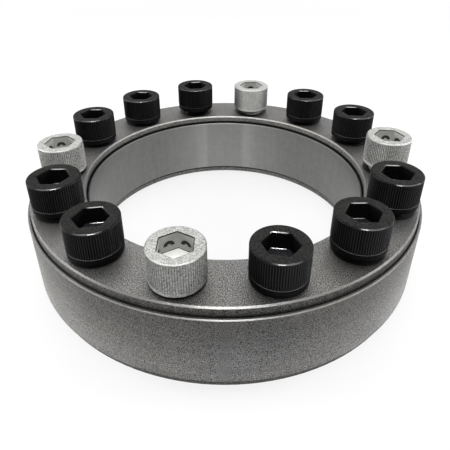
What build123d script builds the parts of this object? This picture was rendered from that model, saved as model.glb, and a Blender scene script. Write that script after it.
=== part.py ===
from build123d import *
import math
import os

# Keyless locking assembly for a shaft in a hub: a slit outer ring and a slit
# inner ring, two conical thrust rings between them, and a circle of socket
# head screws that draw the thrust rings together.
#
# Millimetres, +Z up.  The origin is the middle of the rear thrust ring's flat
# face, and the screw heads point along +Z.  The model stands slack, with the
# screws run in by hand: tightening moves the front thrust ring down by
# CLOSING_TRAVEL and both slit rings down by half of it.

# ---- what it clamps ---------------------------------------------------------
SHAFT_DIAMETER = 110.0        # bore of the inner ring
RING_LENGTH = 26.0            # length of the inner and the outer ring

# ---- thrust rings -----------------------------------------------------------
TIGHT_STANDOFF = 2.0          # thrust ring face above the slit rings, tight
CLOSING_TRAVEL = 2.8          # how much nearer the thrust rings come
NOSE_GAP = 2.0                # between the two noses when tight
CONE_ANGLE = 14.0             # half angle of every cone, degrees
CONE_CLEARANCE = 0.08         # radial, on every cone when tight
RIM_GAP = 0.4                 # radial, thrust ring rim to a slit ring's lip
NOSE_WALL = 0.828             # beside a screw hole, at the nose
RIM_CHAMFER = 0.5

# ---- slit rings -------------------------------------------------------------
INNER_LIP = 0.8               # end face width of the inner ring
OUTER_LIP = 0.9               # end face width of the outer ring
RING_EDGE = 0.35              # chamfer on the bore edge and on the outer edge
SLIT_WIDTH = 2.5
OUTER_SLIT_ANGLE = 90.0       # degrees about +Z from +X
INNER_SLIT_ANGLE = 270.0

# ---- screws -----------------------------------------------------------------
SCREW_COUNT = 14
FIRST_SCREW_ANGLE = -102.0    # degrees about +Z from +X, the next ones clockwise
SCREW_DIAMETER = 12.0         # M12
CLEARANCE_HOLE = 13.0         # front thrust ring
THREAD_CLEARANCE = 0.05       # radial, tapped hole drawn at the thread's crest
TIP_INSET = 0.2               # screw tip above the rear face when tight
TIP_CHAMFER = 1.0
HEAD_DIAMETER = 18.0
PLATED_HEAD_DIAMETER = 17.5   # the plated screws are of another make
HEAD_HEIGHT = 12.0
HEAD_EDGE = 0.55              # bevel round the top of the head
HEAD_FOOT = 0.4               # chamfer under the head
HEX_SIZE = 10.0               # across the flats of the socket
SOCKET_DEPTH = 6.0            # to its flat floor

# Every quarter turn one screw is zinc plated: the hole under it in the front
# ring is a release thread, one size up, for jacking the rings apart.
RELEASE_COUNT = 4
RELEASE_HOLE = 12.7           # pitch diameter of the M14 release thread

# Height of each head above the front ring with the screws run in by hand.
HEAD_STANDS = (0.6, 1.1, 1.9, 1.0, 1.3, 1.4, 2.3, 2.2, 1.6, 1.8, 3.0, 2.4, 1.9, 0.5)
# How far each screw stopped turned: a corner of its hexagon, degrees from +X.
HEX_TURNS = (30, 8, 2, 18, 2, 0, 5, 0, -5, -6, -6, -5, 1, -9)

# ---- worked out -------------------------------------------------------------
TAPER = math.tan(math.radians(CONE_ANGLE))
REST_STANDOFF = TIGHT_STANDOFF + CLOSING_TRAVEL / 2
TIGHT_LENGTH = RING_LENGTH + 2 * TIGHT_STANDOFF
REST_LENGTH = RING_LENGTH + 2 * REST_STANDOFF
THRUST_HEIGHT = (TIGHT_LENGTH - NOSE_GAP) / 2
SCREW_LENGTH = TIGHT_LENGTH - TIP_INSET
SCREW_PITCH_ANGLE = 360.0 / SCREW_COUNT
RELEASE_POSITIONS = tuple(k * SCREW_COUNT // RELEASE_COUNT for k in range(RELEASE_COUNT))

# Radii, outwards from the shaft.  The nose of a thrust ring is as deep below
# the slit rings' end faces as the tight rings allow.
NOSE_DEPTH = THRUST_HEIGHT - TIGHT_STANDOFF
NOSE_WIDTH = CLEARANCE_HOLE + 2 * NOSE_WALL
SHAFT_RADIUS = SHAFT_DIAMETER / 2
INNER_LIP_RADIUS = SHAFT_RADIUS + INNER_LIP
NOSE_INNER_RADIUS = INNER_LIP_RADIUS + NOSE_DEPTH * TAPER + CONE_CLEARANCE
NOSE_OUTER_RADIUS = NOSE_INNER_RADIUS + NOSE_WIDTH
OUTER_LIP_RADIUS = NOSE_OUTER_RADIUS + NOSE_DEPTH * TAPER + CONE_CLEARANCE
HUB_RADIUS = OUTER_LIP_RADIUS + OUTER_LIP
RIM_INNER_RADIUS = INNER_LIP_RADIUS + RIM_GAP
RIM_OUTER_RADIUS = OUTER_LIP_RADIUS - RIM_GAP
BOLT_RADIUS = (NOSE_INNER_RADIUS + NOSE_OUTER_RADIUS) / 2
# The rim is plain down to where the cones reach it.
RIM_HEIGHT = TIGHT_STANDOFF + (RIM_GAP - CONE_CLEARANCE) / TAPER


def turned(outline):
    """The solid that an outline of (radius, height) points sweeps about +Z."""
    section = make_face(Polyline(*[(radius, 0, height) for radius, height in outline], close=True))
    return revolve(section, Axis.Z)


def screw_location(index, height, turn=0):
    """Where screw `index` stands on the bolt circle, turned from +X."""
    angle = FIRST_SCREW_ANGLE - index * SCREW_PITCH_ANGLE
    return Rot(0, 0, angle) * Pos(BOLT_RADIUS, 0, height) * Rot(0, 0, turn - angle)


def drilled(ring, diameters):
    """A ring with one through hole at each screw, of the given diameters."""
    for index, diameter in enumerate(diameters):
        ring -= screw_location(index, 0) * Cylinder(diameter / 2, 3 * REST_LENGTH)
    return ring


def slit(ring, angle, inner_radius, outer_radius):
    """A ring cut through its wall at one angle, so that it can spring."""
    margin = SLIT_WIDTH
    cutter = Box(outer_radius - inner_radius + 2 * margin, SLIT_WIDTH, 2 * RING_LENGTH)
    return ring - Rot(0, 0, angle) * Pos((inner_radius + outer_radius) / 2, 0, 0) * cutter


def outer_ring():
    """Plain cylinder outside, two cones inside that meet in a ridge."""
    half = RING_LENGTH / 2
    ridge_radius = OUTER_LIP_RADIUS - half * TAPER
    outline = [
        (HUB_RADIUS, -half + RING_EDGE),
        (HUB_RADIUS, half - RING_EDGE),
        (HUB_RADIUS - RING_EDGE, half),
        (OUTER_LIP_RADIUS, half),
        (ridge_radius, 0),
        (OUTER_LIP_RADIUS, -half),
        (HUB_RADIUS - RING_EDGE, -half),
    ]
    ring = slit(turned(outline), OUTER_SLIT_ANGLE, ridge_radius, HUB_RADIUS)
    return Pos(0, 0, REST_STANDOFF + half) * ring


def inner_ring():
    """Plain bore inside, two cones outside that meet in a ridge."""
    half = RING_LENGTH / 2
    ridge_radius = INNER_LIP_RADIUS + half * TAPER
    outline = [
        (SHAFT_RADIUS, -half + RING_EDGE),
        (SHAFT_RADIUS + RING_EDGE, -half),
        (INNER_LIP_RADIUS, -half),
        (ridge_radius, 0),
        (INNER_LIP_RADIUS, half),
        (SHAFT_RADIUS + RING_EDGE, half),
        (SHAFT_RADIUS, half - RING_EDGE),
    ]
    ring = slit(turned(outline), INNER_SLIT_ANGLE, SHAFT_RADIUS, ridge_radius)
    return Pos(0, 0, REST_STANDOFF + half) * ring


def thrust_blank():
    """A thrust ring before drilling: flat face at height 0, nose upwards."""
    outline = [
        (RIM_INNER_RADIUS + RIM_CHAMFER, 0),
        (RIM_OUTER_RADIUS - RIM_CHAMFER, 0),
        (RIM_OUTER_RADIUS, RIM_CHAMFER),
        (RIM_OUTER_RADIUS, RIM_HEIGHT),
        (NOSE_OUTER_RADIUS, THRUST_HEIGHT),
        (NOSE_INNER_RADIUS, THRUST_HEIGHT),
        (RIM_INNER_RADIUS, RIM_HEIGHT),
        (RIM_INNER_RADIUS, RIM_CHAMFER),
    ]
    return turned(outline)


def rear_thrust_ring():
    """Lies on its flat face, tapped right through for every screw."""
    return drilled(thrust_blank(), [SCREW_DIAMETER + 2 * THREAD_CLEARANCE] * SCREW_COUNT)


def front_thrust_ring():
    """Carries the heads: clearance holes, and a release thread every quarter."""
    diameters = [CLEARANCE_HOLE] * SCREW_COUNT
    for index in RELEASE_POSITIONS:
        diameters[index] = RELEASE_HOLE
    turned_over = Pos(0, 0, REST_LENGTH) * Rot(180, 0, 0) * thrust_blank()
    return drilled(turned_over, diameters)


def socket():
    """The hexagon recess, mouth at height 0."""
    hexagon = RegularPolygon(HEX_SIZE / 2, 6, major_radius=False)
    return extrude(hexagon, -SOCKET_DEPTH)


def screw(head_diameter):
    """Socket head cap screw, underside of the head at height 0."""
    head_radius = head_diameter / 2
    shank_radius = SCREW_DIAMETER / 2
    outline = [
        (0, -SCREW_LENGTH),
        (shank_radius - TIP_CHAMFER, -SCREW_LENGTH),
        (shank_radius, -SCREW_LENGTH + TIP_CHAMFER),
        (shank_radius, 0),
        (head_radius - HEAD_FOOT, 0),
        (head_radius, HEAD_FOOT),
        (head_radius, HEAD_HEIGHT - HEAD_EDGE),
        (head_radius - HEAD_EDGE, HEAD_HEIGHT),
        (0, HEAD_HEIGHT),
    ]
    return turned(outline) - Pos(0, 0, HEAD_HEIGHT) * socket()


def placed_screws():
    """Every screw at rest, named by its finish and its turn on the circle."""
    blanks = {"black_screw": screw(HEAD_DIAMETER), "plated_screw": screw(PLATED_HEAD_DIAMETER)}
    screws = {}
    counts = {"black_screw": 0, "plated_screw": 0}
    for index in range(SCREW_COUNT):
        finish = "plated_screw" if index in RELEASE_POSITIONS else "black_screw"
        counts[finish] += 1
        stand = HEAD_STANDS[index % len(HEAD_STANDS)]
        turn = HEX_TURNS[index % len(HEX_TURNS)]
        name = f"{finish}_{counts[finish]:02d}"
        screws[name] = screw_location(index, REST_LENGTH + stand, turn) * blanks[finish]
    return screws


def main():
    parts = {
        "outer_ring": outer_ring(),
        "inner_ring": inner_ring(),
        "rear_thrust_ring": rear_thrust_ring(),
        "front_thrust_ring": front_thrust_ring(),
    }
    parts.update(placed_screws())
    os.makedirs("parts", exist_ok=True)
    for name, solid in parts.items():
        export_step(solid, f"parts/{name}.step")
    print(f"hub diameter {2 * HUB_RADIUS:.3f}, bolt circle {2 * BOLT_RADIUS:.3f}")


main()
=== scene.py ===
import functools
import math

import bmesh
import bpy
from bpy.props import FloatProperty, FloatVectorProperty, IntProperty, PointerProperty
from bpy.types import Operator, Panel, PropertyGroup
from mathutils import Matrix, Vector


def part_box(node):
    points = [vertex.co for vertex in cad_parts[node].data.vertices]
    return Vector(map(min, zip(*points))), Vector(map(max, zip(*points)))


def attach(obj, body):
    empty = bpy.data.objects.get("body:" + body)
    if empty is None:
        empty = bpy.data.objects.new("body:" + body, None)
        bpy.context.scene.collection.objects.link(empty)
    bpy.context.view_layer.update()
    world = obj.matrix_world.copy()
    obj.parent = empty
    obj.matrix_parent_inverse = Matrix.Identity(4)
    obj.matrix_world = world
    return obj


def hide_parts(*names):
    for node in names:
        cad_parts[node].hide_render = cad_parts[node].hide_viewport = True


bl_info = {
    "name": "Keyless locking assembly",
    "version": (1, 0, 0),
    "blender": (4, 5, 0),
    "location": "3D View > Sidebar > Locking assembly",
    "description": "Dresses the slit rings, the thrust rings and the socket head screws",
    "category": "Add Mesh",
}

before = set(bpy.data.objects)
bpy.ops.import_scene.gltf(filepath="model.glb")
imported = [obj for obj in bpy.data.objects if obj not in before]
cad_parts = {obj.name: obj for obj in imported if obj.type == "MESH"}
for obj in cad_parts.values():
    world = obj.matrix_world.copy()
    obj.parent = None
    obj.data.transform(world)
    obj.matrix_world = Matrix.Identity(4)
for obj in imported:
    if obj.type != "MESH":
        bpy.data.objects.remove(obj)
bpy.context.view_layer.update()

MM = 0.001
FULL_TURN = 2 * math.pi

# The screws are equally long, and stand evenly on one circle.
SCREWS = sorted(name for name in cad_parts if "_screw_" in name)
BLACK_SCREWS = [name for name in SCREWS if name.startswith("black")]
PLATED_SCREWS = [name for name in SCREWS if name.startswith("plated")]
SCREW_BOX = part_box(SCREWS[0])
SCREW_LENGTH = SCREW_BOX[1].z - SCREW_BOX[0].z
RIM_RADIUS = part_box("front_thrust_ring")[1].x

# Tones that multiply a base colour.
WARM = (1.02, 1.0, 0.97)
COOL = (0.99, 0.985, 1.0)
BLUISH = (0.95, 0.97, 1.12)

# Directions round a screw, from +X: the front of the assembly, where the black heads' bevels
# are rubbed to a gloss and painted paler as a highlight, and where their knurls get the most
# painted shade.
FRONT = -math.pi / 2
RUBBED_AND_HIGHLIT = math.radians(-84)
SHADED_KNURL = math.radians(-105)

# Zones of a screw. For each, the brightness, gloss and roughness, and for zinc its speckling.
# The brightnesses paint light and shade: lighter tops and socket floors, darker sides, grooves and
# black sockets, dark zinc mouths, and a dark underside in the zone of the broach marks.
ZONES = ("side", "groove", "rim", "top", "socket", "mouth", "floor", "mark")
BLACK_ZONES = {
    "side": (0.36, 0.15, 0.32),
    "groove": (0.2, 0.03, 0.5),
    "rim": (0.7, 0.04, 0.5),
    "top": (1.4, 0.035, 0.6),
    "socket": (0.3, 0.03, 0.5),
    "mouth": (1.0, 0.04, 0.4),
    "floor": (1.9, 0.1, 0.5),
    "mark": (0.3, 0.03, 0.6),
}
ZINC_ZONES = {
    "side": (0.62, 0.4, 0.42, 1.3),
    "groove": (0.36, 0.2, 0.5, 1.3),
    "rim": (0.8, 0.4, 0.3, 0.5),
    "top": (0.84, 0.4, 0.42, 1.2),
    "socket": (0.85, 0.4, 0.4, 0.12),
    "mouth": (0.03, 0.0, 0.6, 0.3),
    "floor": (2.6, 0.4, 0.4, 0.04),
    "mark": (0.1, 0.0, 0.6, 0.3),
}


# ---- sizes and colours --------------------------------------------------------


def length(name, description, millimetres):
    """A length property, in metres like everything in the scene."""
    return FloatProperty(
        name=name,
        description=description,
        default=millimetres * MM,
        min=0,
        unit="LENGTH",
        precision=5,
    )


def colour(name, description, default):
    """A colour property."""
    return FloatVectorProperty(
        name=name,
        description=description,
        default=default,
        subtype="COLOR",
        size=3,
        min=0,
        max=1,
    )


def power(name, description, watts):
    """A property for the power of a lamp."""
    return FloatProperty(name=name, description=description, default=watts, min=0, unit="POWER")


class ScrewForm(PropertyGroup):
    """The socket head screw. Its length and the width of its head are the frame's."""

    head_height: length("Head height", "From the bearing face to the top", 12)
    bevel: length("Head bevel", "Width of the bevel round the top", 0.55)
    foot: length("Foot chamfer", "Under the head", 0.4)
    collar_height: length("Collar height", "Plain band below the knurl", 2.35)
    collar_inset: length("Collar inset", "How far the band stays inside the knurl", 0.08)
    teeth: IntProperty(name="Knurl teeth", description="Ridges round the head", default=72, min=12)
    tooth_depth: length("Knurl depth", "From crest to root", 0.25)
    across_flats: length("Hexagon", "Across the flats of the socket", 10)
    socket_depth: length("Socket depth", "From the top to the flat floor", 6)
    mouth: length("Mouth bevel", "Width of the bevel round the hexagon", 0.27)
    mark: length("Broach mark", "Outer radius of the arch on each wall of a plated socket", 1.8)
    mark_depth: length("Broach mark depth", "From the top to the foot of the arch", 4.1)
    shank_diameter: length("Shank diameter", "Over the thread", 12)
    pitch: length("Thread pitch", "Coarse metric pitch", 1.75)
    tip: length("Tip chamfer", "At the end of the thread", 1)


class RingForm(PropertyGroup):
    """Where the rings' edges are, for their finishes."""

    rim_radius: length("Rim radius", "Outside of a thrust ring", RIM_RADIUS / MM)
    rim_bore: length("Rim bore", "Inner radius of a thrust ring", 56.2)
    bore_radius: length("Bore radius", "Of the inner ring", 55)
    # Radius of the painted shade under a head.
    head_shade: length("Stain", "Radius of the dark film under a head", 8.4)
    rim_chamfer: length("Rim chamfer", "On both rims of a thrust ring", 0.5)
    ring_chamfer: length("Slit ring chamfer", "On the ends of the slit rings", 0.35)
    # The edges' brightness: bare metal and a painted highlight.
    edge_metal_and_highlight: FloatProperty(
        name="Edge shine", description="Bare metal on the edges", default=1.25, min=0
    )


class Finishes(PropertyGroup):
    """What every surface is made of."""

    blasted_steel: colour("Blasted steel", "Thrust rings and outer ring", (0.150, 0.149, 0.146))
    ground_steel: colour("Ground steel", "Inner ring", (0.17, 0.17, 0.167))
    black_oxide: colour("Black oxide", "Locking screws", (0.012, 0.012, 0.012))
    zinc: colour("Zinc plate", "Screws over the release threads", (0.50, 0.50, 0.48))


class StageForm(PropertyGroup):
    """Camera, lamps and floor."""

    distance: length("Camera distance", "In front of the assembly's axis", 164.25)
    height: length("Camera height", "Above the floor", 125.52)
    pitch: FloatProperty(
        name="Camera pitch",
        description="Below the horizon",
        default=0.505,
        subtype="ANGLE",
        unit="ROTATION",
    )
    lens: FloatProperty(
        name="Lens", description="On a 36 mm sensor", default=36.22, min=1, unit="CAMERA"
    )
    drop: FloatProperty(
        name="Frame drop", description="Vertical shift of the frame", default=-0.1333
    )
    floor: colour("Floor", "Pale studio floor", (0.85, 0.85, 0.85))
    sky: FloatProperty(
        name="Room light", description="Light from all round", default=0.15, min=0
    )
    roof: power("Roof lamp", "Broad, overhead", 5.2)
    key: power("Key lamp", "Over the camera", 3.0)
    fill: power("Side lamps", "Each of the two", 6.0)


# ---- shading -----------------------------------------------------------------


class Field:
    """A number that varies over a surface. Arithmetic on it adds Math nodes."""

    def __init__(self, finish, socket):
        self.finish = finish
        self.socket = socket

    def maths(self, operation, *others):
        """A Math node on this number and the others."""
        return self.finish.maths(operation, self, *others)

    def __add__(self, other):
        return self.maths("ADD", other)

    __radd__ = __add__

    def __sub__(self, other):
        return self.maths("SUBTRACT", other)

    def __rsub__(self, other):
        return self.finish.maths("SUBTRACT", other, self)

    def __mul__(self, other):
        return self.maths("MULTIPLY", other)

    __rmul__ = __mul__

    def __truediv__(self, other):
        return self.maths("DIVIDE", other)

    def __pow__(self, other):
        return self.maths("POWER", other)

    def __neg__(self):
        return 0 - self

    def __abs__(self):
        return self.maths("ABSOLUTE")

    def above(self, level, softness=1e-6):
        """0 below a level and 1 above it, over a soft step."""
        return self.rise(level - softness, level + softness)

    def rise(self, low, high):
        """0 at `low` and below, 1 at `high` and above, and smooth between them."""
        node = self.finish.node(
            "ShaderNodeMapRange",
            {"interpolation_type": "SMOOTHSTEP"},
            {"Value": self, "From Min": low, "From Max": high},
        )
        return Field(self.finish, node.outputs["Result"])


class Finish:
    """The nodes of a material, or of the world."""

    def __init__(self, owner):
        owner.use_nodes = True
        self.owner = owner
        self.tree = owner.node_tree
        self.tree.nodes.clear()

    def node(self, kind, settings, inputs):
        """A node with its settings made first, then the values or links of its sockets."""
        node = self.tree.nodes.new(kind)
        for key, value in settings.items():
            setattr(node, key, value)
        for key, value in inputs.items():
            if isinstance(value, Field):
                self.tree.links.new(value.socket, node.inputs[key])
            elif isinstance(value, bpy.types.Node):
                self.tree.links.new(value.outputs[0], node.inputs[key])
            else:
                node.inputs[key].default_value = value
        return node

    def maths(self, operation, *values):
        """A Math node on numbers and fields."""
        node = self.node("ShaderNodeMath", {"operation": operation}, dict(enumerate(values)))
        return Field(self, node.outputs[0])

    @functools.cached_property
    def place(self):
        """The point, in the piece's own coordinates."""
        return Field(self, self.node("ShaderNodeTexCoord", {}, {}).outputs["Object"])

    def coordinates(self):
        """x, y and height of the point, and its distance from the assembly's axis."""
        split = self.node("ShaderNodeSeparateXYZ", {}, {0: self.place})
        x, y, z = (Field(self, split.outputs[k]) for k in range(3))
        return x, y, z, (x * x + y * y) ** 0.5

    def scaled(self, size, stretch=(1, 1, 1)):
        """The point in units of `size` metres, with each axis stretched."""
        return self.node(
            "ShaderNodeVectorMath",
            {"operation": "MULTIPLY"},
            {0: self.place, 1: tuple(s / size for s in stretch)},
        )

    def noise(self, size, detail, stretch=(1, 1, 1)):
        """Noise from 0 to 1 whose features are about `size` metres."""
        node = self.node(
            "ShaderNodeTexNoise",
            {},
            {
                "Vector": self.scaled(size, stretch),
                "Scale": 1.0,
                "Detail": detail,
                "Roughness": 0.5,
            },
        )
        return Field(self, node.outputs["Fac"])

    def cells(self, size):
        """A random number in each of many cells of about `size` metres."""
        node = self.node(
            "ShaderNodeTexVoronoi", {}, {"Vector": self.scaled(size), "Scale": 1.0}
        )
        split = self.node(
            "ShaderNodeSeparateColor", {}, {0: Field(self, node.outputs["Color"])}
        )
        return Field(self, split.outputs[0])

    def mix(self, mask, low, high):
        """A colour between two colours."""
        return self.colours("MIX", mask, (*low, 1), (*high, 1))

    def tint(self, base, shade):
        """A colour multiplied by a number that varies."""
        grey = self.node("ShaderNodeCombineXYZ", {}, {0: shade, 1: shade, 2: shade})
        if isinstance(base, tuple):
            base = (*base, 1)
        return self.colours("MULTIPLY", 1.0, base, grey)

    def colours(self, blend, mask, low, high):
        """A Mix node on two colours."""
        node = self.node(
            "ShaderNodeMix",
            {"data_type": "RGBA", "blend_type": blend},
            {"Factor": mask, 6: low, 7: high},
        )
        return Field(self, node.outputs[2])

    def bump(self, height, distance, strength):
        """A normal that follows a height, `distance` metres for 1."""
        node = self.node(
            "ShaderNodeBump", {}, {"Height": height, "Distance": distance, "Strength": strength}
        )
        return Field(self, node.outputs["Normal"])

    def surface(self, **inputs):
        """Ends in a Principled shader, and gives the material."""
        shader = self.node(
            "ShaderNodeBsdfPrincipled",
            {},
            {key.replace("_", " "): value for key, value in inputs.items()},
        )
        self.node("ShaderNodeOutputMaterial", {}, {"Surface": shader})
        return self.owner


def new_finish(name):
    """The nodes of a new material."""
    return Finish(bpy.data.materials.new(name))


# ---- rings' finishes ----------------------------------------------------------

# Sizes of the blasted grain, and its height with the strength of its bump.
THRUST_GRAIN = 0.29 * MM
OUTER_GRAIN = 0.21 * MM
BLASTED_BUMP = (0.04 * MM, 0.5)
GROUND_BUMP = (0.02 * MM, 0.4)

# Softness of the borders between one part of a ring's finish and the next.
THRUST_BLUR = 0.03 * MM
SLIT_BLUR = 0.02 * MM
HEAD_SHADE_BLUR = 0.5 * MM

# How much of its blasted colour an edge loses, as bare metal and as painted shade at the sides,
# how much smoother it is there, and how its painted highlight fades towards the two sides of the
# assembly.
EDGE_COVER = 0.85
EDGE_POLISH = 0.22
HIGHLIGHT_FADE = (22 * MM, 60 * MM)
LEAST_HIGHLIGHT = 0.12

# Depths below a thrust ring's free face at which painted shade from the slit rings falls on its
# walls.
WALL_SHADE_END = 3.2 * MM
BORE_SHADE = (2.0 * MM, 2.8 * MM)

# From a thrust ring's rim to where the outer ring's inner edge, painted bright, ends.
LIP_EDGE = 0.6 * MM

# Angles from the back of the bore: its painted sheen, and both borders of a painted reflection
# band.
BACK_SHEEN = (0.15, 0.75)
REFLECTION_START = (0.15, 0.19)
REFLECTION_END = (0.2, 0.34)


def toned(base, tone):
    """A base colour multiplied by a tone."""
    return tuple(c * t for c, t in zip(base, tone))


def blasted_grain(finish, base, size, spread):
    """Colour, brightness and roughness of blasted steel, and its grain.

    The smaller the spread, the harder the borders of the grain.
    """
    grain = finish.noise(size, detail=0.0).rise(0.5 - spread, 0.5 + spread)
    speck = finish.noise(1.2 * MM, detail=1.0)
    cloud = finish.noise(17 * MM, detail=3.0)
    patch = finish.noise(24 * MM, detail=2.0).rise(0.3, 0.7)
    steel = finish.mix(patch, toned(base, WARM), toned(base, COOL))
    shade = 0.06 + grain * 1.25 + speck * 0.05 + cloud * 0.45
    roughness = 0.45 + cloud * 0.1
    return steel, shade, roughness, grain


def blasted_surface(finish, steel, shade, roughness, grain, polished):
    """Blasted steel with smoother metal on its polished edges."""
    return finish.surface(
        Base_Color=finish.tint(steel, shade),
        Metallic=1.0,
        Roughness=roughness - polished * EDGE_POLISH,
        Normal=finish.bump(grain, *BLASTED_BUMP),
    )


def polish_and_highlight(x):
    """How polished the edges are and how bright their painted highlight is: most towards -Y and
    +Y, least at the two sides.
    """
    return 1 - abs(x).rise(*HIGHLIGHT_FADE) * (1 - LEAST_HIGHLIGHT)


def from_screw(x, y):
    """Where a point lies in x and y from the axis of the nearest screw, and how far."""
    centre = (SCREW_BOX[0] + SCREW_BOX[1]) / 2
    bolt_radius = centre.to_2d().length
    step = FULL_TURN / len(SCREWS)
    first = math.atan2(centre.y, centre.x)
    angle = y.maths("ARCTAN2", x)
    past = (angle - (first - step / 2)).maths("WRAP", step, 0) - step / 2
    nearest = angle - past
    across = x - nearest.maths("COSINE") * bolt_radius
    along = y - nearest.maths("SINE") * bolt_radius
    return across, along, (across * across + along * along) ** 0.5


def facing(x, y, angle):
    """Cosine of the angle round a screw between a point and a direction, given from +X."""
    across, along, distance = from_screw(x, y)
    return (across * math.cos(angle) + along * math.sin(angle)) / distance


def shade_under_heads(x, y, form):
    """1 in the painted shade under each head, fading out round it."""
    _, _, distance = from_screw(x, y)
    return 1 - distance.above(form.head_shade, HEAD_SHADE_BLUR)


def thrust_steel(name, base, form, face, outward, bore_light):
    """Blasted thrust ring. Its free face is at height `face` and looks up for an outward of 1."""
    finish = new_finish(name)
    x, y, z, radius = finish.coordinates()
    depth = (face - z) * outward
    steel, shade, roughness, grain = blasted_grain(finish, base, THRUST_GRAIN, 0.14)

    # The two walls of the rim, the parts of them where the slit rings' shade is painted, and the
    # chamfers.
    wall = radius.above(form.rim_radius - THRUST_BLUR, THRUST_BLUR)
    wall_shaded = wall * depth.rise(form.rim_chamfer, WALL_SHADE_END)
    bore = 1 - radius.above(form.rim_bore + THRUST_BLUR, THRUST_BLUR)
    bore_shaded = bore * depth.rise(*BORE_SHADE)
    shallow = 1 - depth.above(form.rim_chamfer, THRUST_BLUR)
    outer_edge = shallow * radius.above(form.rim_radius - form.rim_chamfer, THRUST_BLUR)
    inner_edge = shallow * (1 - radius.above(form.rim_bore + form.rim_chamfer, THRUST_BLUR))
    edges = outer_edge.maths("MAXIMUM", inner_edge)

    # Painted shade, a little darker in front, and painted light in a patch at the front left.
    behind = y.rise(-70 * MM, 0)
    front_left = (-x).rise(10 * MM, 45 * MM) * (-y).rise(10 * MM, 50 * MM)

    # Painted shade on the outer wall and deeper where the slit rings cover it, painted light on
    # the bore wall, and painted shade on the edges and low in the bore.
    shade = shade * (1 - wall * 0.34 - wall_shaded * 0.2 + bore * bore_light)
    shade = shade * (1 - edges * EDGE_COVER) * (1 - bore_shaded * 0.9)
    shade = shade * (0.85 + behind * 0.15) * (1 + front_left * 0.3)
    # Painted shade under the heads.
    shade = shade * (1 - shade_under_heads(x, y, form) * 0.82)
    # Bare metal and a painted highlight on the chamfers, brightest on the inner edge.
    bare_metal_and_highlight = outer_edge * polish_and_highlight(x) + inner_edge * (0.9 + polish_and_highlight(x) * 1.1)
    shade = shade + bare_metal_and_highlight * form.edge_metal_and_highlight
    return blasted_surface(finish, steel, shade, roughness, grain, edges * polish_and_highlight(x))


def outer_steel(name, base, form, low, high):
    """Blasted outer ring, painted darker towards its upper end as shade, with edges there painted
    bright as a highlight.
    """
    finish = new_finish(name)
    x, _, z, radius = finish.coordinates()
    steel, shade, roughness, grain = blasted_grain(finish, base, OUTER_GRAIN, 0.1)
    turning = finish.noise(0.7 * MM, detail=1.0, stretch=(0.05, 0.05, 1))
    height = (z - low.z).rise(0, high.z - low.z)
    beside = abs(x).rise(10 * MM, 70 * MM)
    upper = z.above(high.z - form.ring_chamfer, SLIT_BLUR)
    lower = 1 - z.above(low.z + form.ring_chamfer, SLIT_BLUR)
    chamfer = radius.above(high.x - form.ring_chamfer, SLIT_BLUR)
    lip = 1 - radius.above(form.rim_radius + LIP_EDGE, SLIT_BLUR)
    edges = upper * chamfer.maths("MAXIMUM", lip * 0.8)
    # Painted shade towards the upper end and on the lower chamfer, painted light towards the two
    # sides, and bare metal with a painted highlight on the upper edges.
    shade = shade * (1.32 - height * 0.66) * (1 - lower * 0.25) * (1 - edges * EDGE_COVER)
    shade = shade * (0.75 + turning * 0.5) * (1 + beside * 0.5)
    shade = shade + edges * polish_and_highlight(x) * form.edge_metal_and_highlight
    return blasted_surface(finish, steel, shade, roughness, grain, edges * polish_and_highlight(x))


def ground_steel(name, base, form, low, high):
    """Smooth bore with faint lines round it and soft broad streaks along it, a painted reflection
    at its back, and painted shade at both ends.
    """
    finish = new_finish(name)
    x, y, z, radius = finish.coordinates()
    lines = finish.noise(0.5 * MM, detail=2.0, stretch=(0.02, 0.02, 1))
    streaks = finish.noise(15 * MM, detail=1.0, stretch=(1, 1, 0.05))
    grain = finish.noise(0.6 * MM, detail=1.0)
    scratches = finish.noise(0.9 * MM, detail=2.0, stretch=(1, 1, 0.04))
    mottle = finish.noise(3 * MM, detail=3.0)
    chamfer = z.above(high.z - form.ring_chamfer, SLIT_BLUR)
    lip = chamfer * radius.above(form.bore_radius + form.ring_chamfer, SLIT_BLUR)
    foot = 1 - z.above(low.z + form.ring_chamfer, SLIT_BLUR)

    # Painted reflection: the back of the bore, towards +Y, is lighter, with a lighter band on both
    # sides.
    from_back = abs(x.maths("ARCTAN2", y))
    back_sheen = 1 - from_back.rise(*BACK_SHEEN)
    reflection_bands = from_back.rise(*REFLECTION_START) * (1 - from_back.rise(*REFLECTION_END))

    shade = 0.5 + lines * 0.16 + streaks * 0.2 + (grain + mottle + scratches) * 0.3
    shade = shade + back_sheen * 0.42 + reflection_bands * 0.3
    # Painted shade on the upper chamfer, the end face beyond it and the lower chamfer.
    shade = shade * (1 - chamfer * 0.3) * (1 - lip * 0.9) * (1 - foot * 0.7)
    return finish.surface(
        Base_Color=finish.tint(base, shade),
        Metallic=1.0,
        Roughness=0.36 + streaks * 0.1,
        Normal=finish.bump(lines, *GROUND_BUMP),
    )


# ---- screws' finishes ----------------------------------------------------------

# Sizes of the grain and the speckles, and their heights with the strengths of their bumps.
OXIDE_GRAIN = 0.3 * MM
OXIDE_BUMP = (0.03 * MM, 0.4)
SPECKLE = 0.26 * MM
ZINC_BUMP = (0.04 * MM, 0.5)

# Where a black head is polished.
POLISHED_ROUGHNESS = 0.1
POLISHED_IOR = 2.2

# Between the edge of the hexagon and the ledge of the collar, which share the zone "mouth".
MOUTH_REACH = 7 * MM

# Stretches of y, from the front of the assembly to its rear, over which a finish changes:
# the rubbed rims with their painted highlight, the painted highlight on the ledge of the collar,
# the black knurl, the speckles, the painted light and shade on the sides of the plated knurl,
# and its brightness.
RIM_STRETCH = (0, 50 * MM)
LEDGE_STRETCH = (0, 60 * MM)
KNURL_STRETCH = (-30 * MM, 40 * MM)
SPECKLE_STRETCH = (-20 * MM, 60 * MM)
LIT_STRETCH = (20 * MM, 60 * MM)
ZINC_STRETCH = (-60 * MM, 60 * MM)


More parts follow.
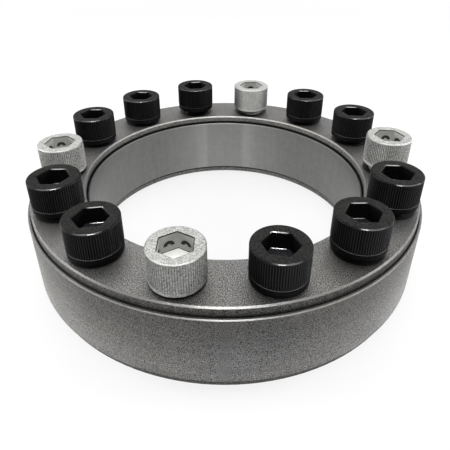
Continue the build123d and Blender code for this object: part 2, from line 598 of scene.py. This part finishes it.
def black_oxide(zone, base, bright, gloss, roughness):
    """Blued steel under a film of oil, for one zone of the screw."""
    finish = new_finish(f"black_oxide_{zone}")
    tone = WARM if zone in ("top", "mouth") else BLUISH
    grain = finish.cells(OXIDE_GRAIN)
    film = finish.noise(3.5 * MM, detail=3.0)
    x, y, _, _ = finish.coordinates()
    shade = (0.1 + grain * 1.4 + film * 0.4) * bright
    polish = 0.0
    if zone == "rim":
        # Rubbed to a gloss. Towards the rear of the assembly it is duller, and painted paler as a
        # highlight.
        rubbed_and_highlit = facing(x, y, RUBBED_AND_HIGHLIT)
        rear = y.rise(*RIM_STRETCH)
        polish = rubbed_and_highlit.rise(0.84, 0.99) * (1 - rear * 0.6)
        shade = shade * (1 + rubbed_and_highlit.rise(0.3, 0.95) * rear * 6)
    elif zone == "mouth":
        # Painted highlights on the far edge of the hexagon and on the near side of the collar's
        # ledge, and painted shade on the hexagon's other edges.
        _, _, distance = from_screw(x, y)
        collar = distance.above(MOUTH_REACH)
        hexagon = 1 - collar
        front = facing(x, y, FRONT)
        far = (-front).rise(0.86, 0.98) * hexagon
        ledge_highlight = collar * front.rise(0, 0.9) * (1 - y.rise(*LEDGE_STRETCH) * 0.5)
        polish = far * 0.6
        shade = shade * (1 - front.rise(-0.95, -0.3) * hexagon * 0.5)
        shade = shade + far * 34 + ledge_highlight * 9
    elif zone == "side":
        ridges = finish.noise(1.3 * MM, detail=1.0, stretch=(1, 1, 0.03)).rise(0.3, 0.7)
        # Painted shade on the knurl towards the front, and painted light round the rest of it.
        knurl_shade = facing(x, y, SHADED_KNURL).rise(0.4, 0.95)
        rear = y.rise(*KNURL_STRETCH)
        shade = shade * (1.9 - knurl_shade * 1.3) * (0.45 + ridges * 1.2) * (1 - rear * 0.25)
    elif zone == "groove":
        rear = y.rise(*KNURL_STRETCH)
        shade = shade * (1.25 + rear * 0.95)
    return finish.surface(
        Base_Color=finish.tint(toned(base, tone), shade),
        Metallic=0.0,
        Specular_IOR_Level=gloss,
        Coat_Weight=polish,
        Coat_Roughness=POLISHED_ROUGHNESS,
        Coat_IOR=POLISHED_IOR,
        Roughness=roughness + film * 0.08,
        Normal=finish.bump(grain, *OXIDE_BUMP),
    )


def zinc(zone, base, bright, gloss, roughness, speckling):
    """Dull zinc plate, speckled light and dark, for one zone of the screw."""
    finish = new_finish(f"zinc_{zone}")
    x, y, _, _ = finish.coordinates()
    speckle = finish.cells(SPECKLE)
    cloud = finish.noise(4 * MM, detail=2.0)
    front = facing(x, y, FRONT)

    # The speckles fade towards the rear of the assembly.
    speckling = speckling * (1 - y.rise(*SPECKLE_STRETCH) * 0.55)
    shade = 1 + (speckle - 0.5) * speckling + (cloud - 0.5) * 0.3
    brighter = 0.76
    if zone in ("side", "groove"):
        # Painted light: towards the rear the knurl is lighter, with a painted highlight where it
        # faces the front and painted shade on its sides, both stronger towards the rear.
        rear = y.rise(*LIT_STRETCH)
        lit = front.rise(0.1 + rear * 0.4, 0.9 + rear * 0.1)
        brighter = brighter + y.rise(*ZINC_STRETCH) * 0.7
        shade = shade * (0.78 - rear * 0.27 + lit * (0.28 + rear * 0.5))
    if zone == "groove":
        # Painted shade in the grooves towards the sides.
        shade = shade * (0.6 + front.rise(0.5, 0.95) * 0.6)
    elif zone == "rim":
        # Painted highlight at the front of the rim, and painted shade at its back.
        shade = shade * (1 + front.rise(0.6, 0.98) * 1.1) * (0.3 + front.rise(-0.3, 0.5) * 0.7)
    shade = shade * brighter * bright
    return finish.surface(
        Base_Color=finish.tint(base, shade),
        Metallic=0.0,
        Specular_IOR_Level=gloss,
        Roughness=roughness + speckle * 0.1,
        Normal=finish.bump(speckle, *ZINC_BUMP),
    )


# ---- screws ------------------------------------------------------------------

# One tooth of the knurl, step by step, with 1 at its crest and 0 at its root, the steps that
# lie in its groove, and the height over which the knurl begins.
TOOTH_SHAPE = (1.0, 0.72, 0.0, 0.28)
GROOVE_STEPS = (1, 2)
KNURL_STEP = 0.04 * MM

# The bevel round the top: the shares of it outwards and downwards, and the zone.
BEVEL_SHAPE = ((0.92, 0.62, "rim"), (0.7, 0.3, "rim"), (0.38, 0.08, "top"))

# The ledge from the plain band to the knurl, and the share of its height that the band has
# on a plated screw.
BLACK_LEDGE = 0.12 * MM
PLATED_LEDGE = 0.05 * MM
PLATED_BAND = 0.6

# The hexagon: how far its corners reach as a share of sharp ones, the lip round its mouth,
# which falls by a share of its width, and the fillet at its floor.
HEXAGON_SIDES = 6
BLUNTED = 0.985
MOUTH_LIP = 0.16 * MM
LIP_FALL = 0.2
FLOOR_FILLET = 0.14 * MM

# The broach mark lies just inside the wall, and its inner arc has a share of its radius.
MARK_LIFT = 0.03 * MM
MARK_INSIDE = 0.35
MARK_STEPS = 14

# One turn of thread: places along the pitch, with 1 at the crest and 0 at the root, and its
# depth as a share of the pitch.
THREAD_PROFILE = ((-1 / 16, 1.0), (1 / 16, 1.0), (3 / 8, 0.0), (5 / 8, 0.0))
THREAD_DEPTH = 0.6134
THREAD_STEPS = 36

# Vertices this near are joined, vertices this near in height are on one level, and edges
# sharper than this angle aren't smoothed.
WELD = 0.002 * MM
SAME_LEVEL = 0.01 * MM
SHARP_ANGLE = math.radians(28)


def added(name, data):
    """A new object in the scene."""
    item = bpy.data.objects.new(name, data)
    bpy.context.scene.collection.objects.link(item)
    return item


def hexagon_radius(angle, across_flats):
    """Distance from the axis to the hexagon's wall, its corners slightly blunted."""
    sixth = FULL_TURN / HEXAGON_SIDES
    flat = across_flats / 2 / math.cos((angle % sixth) - sixth / 2)
    return min(flat, across_flats / math.sqrt(3) * BLUNTED)


def ring_of(mesh, angles, radii, height):
    """Vertices round the axis, one at each angle."""
    return [
        mesh.verts.new((radius * math.cos(angle), radius * math.sin(angle), height))
        for angle, radius in zip(angles, radii)
    ]


def skin(mesh, lower, upper, zone):
    """Faces between two rings of as many vertices."""
    faces = []
    for k in range(len(lower)):
        following = (k + 1) % len(lower)
        face = mesh.faces.new((lower[k], lower[following], upper[following], upper[k]))
        face.material_index = ZONES.index(zone)
        faces.append(face)
    return faces


def cap(mesh, ring, height, zone):
    """Faces from a ring to a point on the axis."""
    point = mesh.verts.new((0, 0, height))
    for a, b in zip(ring, ring[1:] + ring[:1]):
        face = mesh.faces.new((a, b, point))
        face.material_index = ZONES.index(zone)


def add_head(mesh, form, head_radius, plated):
    """Knurled head and hexagon socket, bearing face at height 0."""
    count = form.teeth * len(TOOTH_SHAPE)
    angles = [FULL_TURN * k / count for k in range(count)]
    knurl = [head_radius - form.tooth_depth * (1 - s) for s in TOOTH_SHAPE * form.teeth]
    hexagon = [hexagon_radius(angle, form.across_flats) for angle in angles]
    top = form.head_height
    shoulder = top - form.bevel
    floor = top - form.socket_depth
    inside_bevel = head_radius - form.bevel
    band = head_radius - form.collar_inset
    band_top = form.collar_height * (PLATED_BAND if plated else 1)
    ledge = PLATED_LEDGE if plated else BLACK_LEDGE
    ledge_top = band_top + ledge

    def even(radius):
        return [radius] * count

    def wider(width):
        return [radius + width for radius in hexagon]

    # Rings of the head from the shank round to the socket's floor: the radii, the height, and
    # the zone from there to the next ring. The underside is painted dark as shade, in the broach
    # marks' zone.
    levels = [
        (even(form.shank_diameter / 2), 0, "mark"),
        (even(band - form.foot), 0, "mark"),
        (even(band), form.foot, "side" if plated else "groove"),
        (even(band), band_top, "side" if plated else "mouth"),
        (even(band - ledge), ledge_top, "side"),
        (knurl, ledge_top + KNURL_STEP, "side"),
        (knurl, shoulder - form.tooth_depth, "side"),
        (even(head_radius), shoulder, "side"),
    ]
    levels += [
        (even(inside_bevel + form.bevel * outwards), top - form.bevel * down, zone)
        for outwards, down, zone in BEVEL_SHAPE
    ]
    levels += [
        (even(inside_bevel), top, "top"),
        (wider(form.mouth + MOUTH_LIP), top, "top"),
        (wider(form.mouth), top - MOUTH_LIP * LIP_FALL, "mouth"),
        (hexagon, top - form.mouth, "socket"),
        (hexagon, floor + FLOOR_FILLET, "mouth"),
        (wider(-FLOOR_FILLET), floor, "floor"),
        ([radius / 2 for radius in hexagon], floor, "floor"),
    ]
    rings = [ring_of(mesh, angles, radii, height) for radii, height, _ in levels]
    for (radii, _, zone), lower, upper in zip(levels, rings, rings[1:]):
        faces = skin(mesh, lower, upper, zone)
        if radii is knurl:
            for k, face in enumerate(faces):
                if k % len(TOOTH_SHAPE) in GROOVE_STEPS:
                    face.material_index = ZONES.index("groove")
    cap(mesh, rings[-1], floor, "floor")


def add_marks(mesh, form):
    """The arch that the broach leaves low on each wall of the socket."""
    wall = form.across_flats / 2 - MARK_LIFT
    height = form.head_height - form.mark_depth
    turns = [math.pi * k / MARK_STEPS for k in range(MARK_STEPS + 1)]
    for side in range(HEXAGON_SIDES):
        middle = FULL_TURN * (side + 0.5) / HEXAGON_SIDES
        across = Vector((-math.sin(middle), math.cos(middle), 0))
        foot = Vector((wall * math.cos(middle), wall * math.sin(middle), height))
        arcs = []
        for radius in (form.mark, form.mark * MARK_INSIDE):
            rises = [Vector((0, 0, radius * math.sin(turn))) for turn in turns]
            reaches = [across * radius * math.cos(turn) for turn in turns]
            arcs.append([mesh.verts.new(foot + a + b) for a, b in zip(reaches, rises)])
        outer, inner = arcs
        for k in range(MARK_STEPS):
            face = mesh.faces.new((outer[k], outer[k + 1], inner[k + 1], inner[k]))
            face.material_index = ZONES.index("mark")


def add_thread(mesh, form, shank_length):
    """The threaded shank, from the bearing face at height 0 down to its tip."""
    crest = form.shank_diameter / 2
    tip_radius = crest - form.tip
    depth = THREAD_DEPTH * form.pitch
    turns = math.ceil(shank_length / form.pitch) + 2
    columns = []
    for step in range(THREAD_STEPS):
        angle = FULL_TURN * step / THREAD_STEPS
        column = []
        for turn in range(turns):
            for phase, share in THREAD_PROFILE:
                height = (turn - turns + 1 + phase + step / THREAD_STEPS) * form.pitch
                above_tip = height + shank_length
                radius = min(crest - depth * (1 - share), tip_radius + max(above_tip, 0))
                if above_tip <= 0:
                    radius, height = tip_radius, -shank_length
                elif height >= 0:
                    radius, height = crest, 0
                point = (radius * math.cos(angle), radius * math.sin(angle), height)
                column.append(mesh.verts.new(point))
        columns.append(column)
    for step, column in enumerate(columns):
        following = columns[(step + 1) % THREAD_STEPS]
        # Once round, the thread has risen by a pitch.
        shift = len(THREAD_PROFILE) if step == THREAD_STEPS - 1 else 0
        for row in range(len(column) - 1 - shift):
            beside = row + shift
            mesh.faces.new(
                (column[row], following[beside], following[beside + 1], column[row + 1])
            )
    cap(mesh, [column[0] for column in reversed(columns)], -shank_length, "side")


def screw_mesh(form, head_radius, plated):
    """A whole screw about the axis, a corner of its hexagon towards +X."""
    mesh = bmesh.new()
    add_head(mesh, form, head_radius, plated)
    add_thread(mesh, form, SCREW_LENGTH - form.head_height)
    bmesh.ops.remove_doubles(mesh, verts=mesh.verts, dist=WELD)
    bmesh.ops.dissolve_degenerate(mesh, edges=mesh.edges, dist=WELD)
    bmesh.ops.recalc_face_normals(mesh, faces=mesh.faces)
    if plated:
        add_marks(mesh, form)
    return mesh


def socket_turn(node, centre, floor):
    """How far the solid's hexagon is turned: the angle of one of its corners."""
    corners = [
        (vertex.co - centre).to_2d()
        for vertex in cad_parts[node].data.vertices
        if abs(vertex.co.z - floor) < SAME_LEVEL
    ]
    corner = max(corners, key=lambda offset: offset.length)
    return math.atan2(corner.y, corner.x)


def place_screws(names, form, materials, plated=False):
    """Stands a detailed screw in the place of each solid."""
    low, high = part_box(names[0])
    template = screw_mesh(form, (high.x - low.x) / 2, plated)
    for name in names:
        low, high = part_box(name)
        centre = (low + high) / 2
        seat = Vector((centre.x, centre.y, high.z - form.head_height))
        turn = socket_turn(name, centre, high.z - form.socket_depth)
        copy = template.copy()
        copy.transform(Matrix.Translation(seat) @ Matrix.Rotation(turn, 4, "Z"))
        data = bpy.data.meshes.new(f"{name}_detail")
        copy.to_mesh(data)
        copy.free()
        data.shade_smooth()
        data.set_sharp_from_angle(angle=SHARP_ANGLE)
        for material in materials:
            data.materials.append(material)
        piece = added(f"{name}_detail", data)
        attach(piece, f"{name}_body")
        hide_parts(name)
    template.free()


# ---- stage -------------------------------------------------------------------

WHITE = (1, 1, 1, 1)

# Each lamp's place, the two sides of its rectangle, and the property that holds its power.
LAMPS = {
    "roof_lamp": ((0, 0.25, 0.8), (0.7, 0.7), "roof"),
    "key_lamp": ((0.02, -0.52, 0.6), (0.25, 0.2), "key"),
    "left_lamp": ((-0.7, 0.1, 0.22), (0.4, 0.4), "fill"),
    "right_lamp": ((0.7, 0.1, 0.22), (0.4, 0.4), "fill"),
}
LAMP_TARGET = Vector((0, 0, 0.02))
CLIP_START = 0.01

# How far the floor reaches each way, and how far below the assembly it lies.
FLOOR_REACH = 3.0
FLOOR_DROP = 0.05 * MM

# The floor as the camera sees it: it shows faint shadows on a glow, and it turns white
# between these distances from the axis.
FLOOR_SHADOWS = (0.19, 0.19, 0.19, 1)
FLOOR_GLOW = 0.76
WHITE_FROM = 0.25
WHITE_AT = 0.7


def area_lamp(name, place, size, watts):
    """A soft rectangular lamp that faces the assembly."""
    data = bpy.data.lights.new(name, "AREA")
    data.shape = "RECTANGLE"
    data.size, data.size_y = size
    data.energy = watts
    lamp = added(name, data)
    lamp.location = place
    lamp.rotation_euler = (LAMP_TARGET - Vector(place)).to_track_quat("-Z", "Y").to_euler()


def seen_directly(finish):
    """1 for rays from the camera, from gloss and through glass, and 0 for the light."""
    path = finish.node("ShaderNodeLightPath", {}, {})
    camera, glossy, through = (
        Field(finish, path.outputs[name])
        for name in ("Is Camera Ray", "Is Glossy Ray", "Is Transmission Ray")
    )
    return camera.maths("MAXIMUM", glossy).maths("MAXIMUM", through)


def studio_floor(base):
    """A plain floor for the light, which the camera sees much paler."""
    finish = new_finish("studio_floor")
    plain = finish.node("ShaderNodeBsdfDiffuse", {}, {"Color": (*base, 1)})
    shadows = finish.node("ShaderNodeBsdfDiffuse", {}, {"Color": FLOOR_SHADOWS})
    glow = finish.node("ShaderNodeEmission", {}, {"Color": WHITE, "Strength": FLOOR_GLOW})
    near = finish.node("ShaderNodeAddShader", {}, {0: shadows, 1: glow})
    far = finish.node("ShaderNodeEmission", {}, {"Color": WHITE, "Strength": 1.0})
    _, _, _, radius = finish.coordinates()
    whiter = radius.rise(WHITE_FROM, WHITE_AT)
    pale = finish.node("ShaderNodeMixShader", {}, {0: whiter, 1: near, 2: far})
    direct = seen_directly(finish)
    shown = finish.node("ShaderNodeMixShader", {}, {0: direct, 1: plain, 2: pale})
    finish.node("ShaderNodeOutputMaterial", {}, {"Surface": shown})
    return finish.owner


# ---- operators ---------------------------------------------------------------


def coat(node, material):
    """Gives a solid of the frame its material."""
    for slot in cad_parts[node].material_slots:
        slot.material = material


class LOCKING_OT_rings(Operator):
    """Finish the two slit rings and the two thrust rings"""

    bl_idname = "locking.rings"
    bl_label = "Finish the rings"

    def execute(self, context):
        form = context.scene.locking_ring
        finishes = context.scene.locking_finishes
        steel = tuple(finishes.blasted_steel)
        bore = tuple(finishes.ground_steel)
        front, rear = "front_thrust_ring", "rear_thrust_ring"
        coat(front, thrust_steel(front, steel, form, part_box(front)[1].z, 1, 0.25))
        coat(rear, thrust_steel(rear, steel, form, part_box(rear)[0].z, -1, 0.1))
        coat("outer_ring", outer_steel("outer_ring", steel, form, *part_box("outer_ring")))
        coat("inner_ring", ground_steel("inner_ring", bore, form, *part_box("inner_ring")))
        return {"FINISHED"}


class LOCKING_OT_black_screws(Operator):
    """Stand the ten black locking screws on the bolt circle"""

    bl_idname = "locking.black_screws"
    bl_label = "Black screws"

    def execute(self, context):
        scene = context.scene
        base = tuple(scene.locking_finishes.black_oxide)
        materials = [black_oxide(zone, base, *BLACK_ZONES[zone]) for zone in ZONES]
        place_screws(BLACK_SCREWS, scene.locking_screw, materials)
        return {"FINISHED"}


class LOCKING_OT_plated_screws(Operator):
    """Stand the four plated screws over the release threads"""

    bl_idname = "locking.plated_screws"
    bl_label = "Plated screws"

    def execute(self, context):
        scene = context.scene
        base = tuple(scene.locking_finishes.zinc)
        materials = [zinc(zone, base, *ZINC_ZONES[zone]) for zone in ZONES]
        place_screws(PLATED_SCREWS, scene.locking_screw, materials, plated=True)
        return {"FINISHED"}


class LOCKING_OT_stage(Operator):
    """Set the camera, the lamps and the pale floor"""

    bl_idname = "locking.stage"
    bl_label = "Stage"

    def execute(self, context):
        form = context.scene.locking_stage
        self.camera(form)
        for name, (place, size, setting) in LAMPS.items():
            area_lamp(name, place, size, getattr(form, setting))
        self.floor(form)
        self.room(form)
        context.scene.view_settings.view_transform = "Standard"
        return {"FINISHED"}

    def camera(self, form):
        """In front of the assembly, looking down on it."""
        data = bpy.data.cameras.new("camera")
        data.lens = form.lens
        data.shift_y = form.drop
        data.clip_start = CLIP_START
        camera = added("camera", data)
        camera.location = (0, -form.distance, form.height)
        camera.rotation_euler = (math.pi / 2 - form.pitch, 0, 0)
        bpy.context.scene.camera = camera

    def floor(self, form):
        """Just under the assembly, so that nothing lies in one plane with it."""
        mesh = bmesh.new()
        bmesh.ops.create_grid(mesh, x_segments=1, y_segments=1, size=FLOOR_REACH)
        data = bpy.data.meshes.new("floor")
        mesh.to_mesh(data)
        mesh.free()
        data.materials.append(studio_floor(form.floor))
        floor = added("floor", data)
        floor.location.z = -FLOOR_DROP

    def room(self, form):
        """White to the camera, and a fainter light for the assembly."""
        world = bpy.data.worlds.new("room")
        bpy.context.scene.world = world
        sky = Finish(world)
        strength = form.sky + seen_directly(sky) * (1 - form.sky)
        background = sky.node(
            "ShaderNodeBackground", {}, {"Color": WHITE, "Strength": strength}
        )
        sky.node("ShaderNodeOutputWorld", {}, {"Surface": background})


class LOCKING_PT_panel(Panel):
    """Sizes, colours and the pieces, in the sidebar"""

    bl_label = "Locking assembly"
    bl_space_type = "VIEW_3D"
    bl_region_type = "UI"
    bl_category = "Locking assembly"

    def draw(self, context):
        layout = self.layout
        for group in PROPERTIES:
            settings = getattr(context.scene, group)
            box = layout.box()
            for name in settings.bl_rna.properties.keys():
                if name not in ("rna_type", "name"):
                    box.prop(settings, name)
        for operator in OPERATORS:
            layout.operator(operator.bl_idname)


PROPERTIES = {
    "locking_ring": RingForm,
    "locking_screw": ScrewForm,
    "locking_finishes": Finishes,
    "locking_stage": StageForm,
}
OPERATORS = (
    LOCKING_OT_rings,
    LOCKING_OT_black_screws,
    LOCKING_OT_plated_screws,
    LOCKING_OT_stage,
)


def register():
    """Adds the classes and their settings to Blender."""
    for group in PROPERTIES.values():
        bpy.utils.register_class(group)
    for item in (*OPERATORS, LOCKING_PT_panel):
        bpy.utils.register_class(item)
    for name, group in PROPERTIES.items():
        setattr(bpy.types.Scene, name, PointerProperty(type=group))


def unregister():
    """Takes them out again."""
    for name in PROPERTIES:
        delattr(bpy.types.Scene, name)
    for item in (LOCKING_PT_panel, *OPERATORS):
        bpy.utils.unregister_class(item)
    for group in PROPERTIES.values():
        bpy.utils.unregister_class(group)


def main():
    """Builds everything."""
    register()
    bpy.ops.locking.rings()
    bpy.ops.locking.black_screws()
    bpy.ops.locking.plated_screws()
    bpy.ops.locking.stage()


if __name__ == "__main__":
    main()
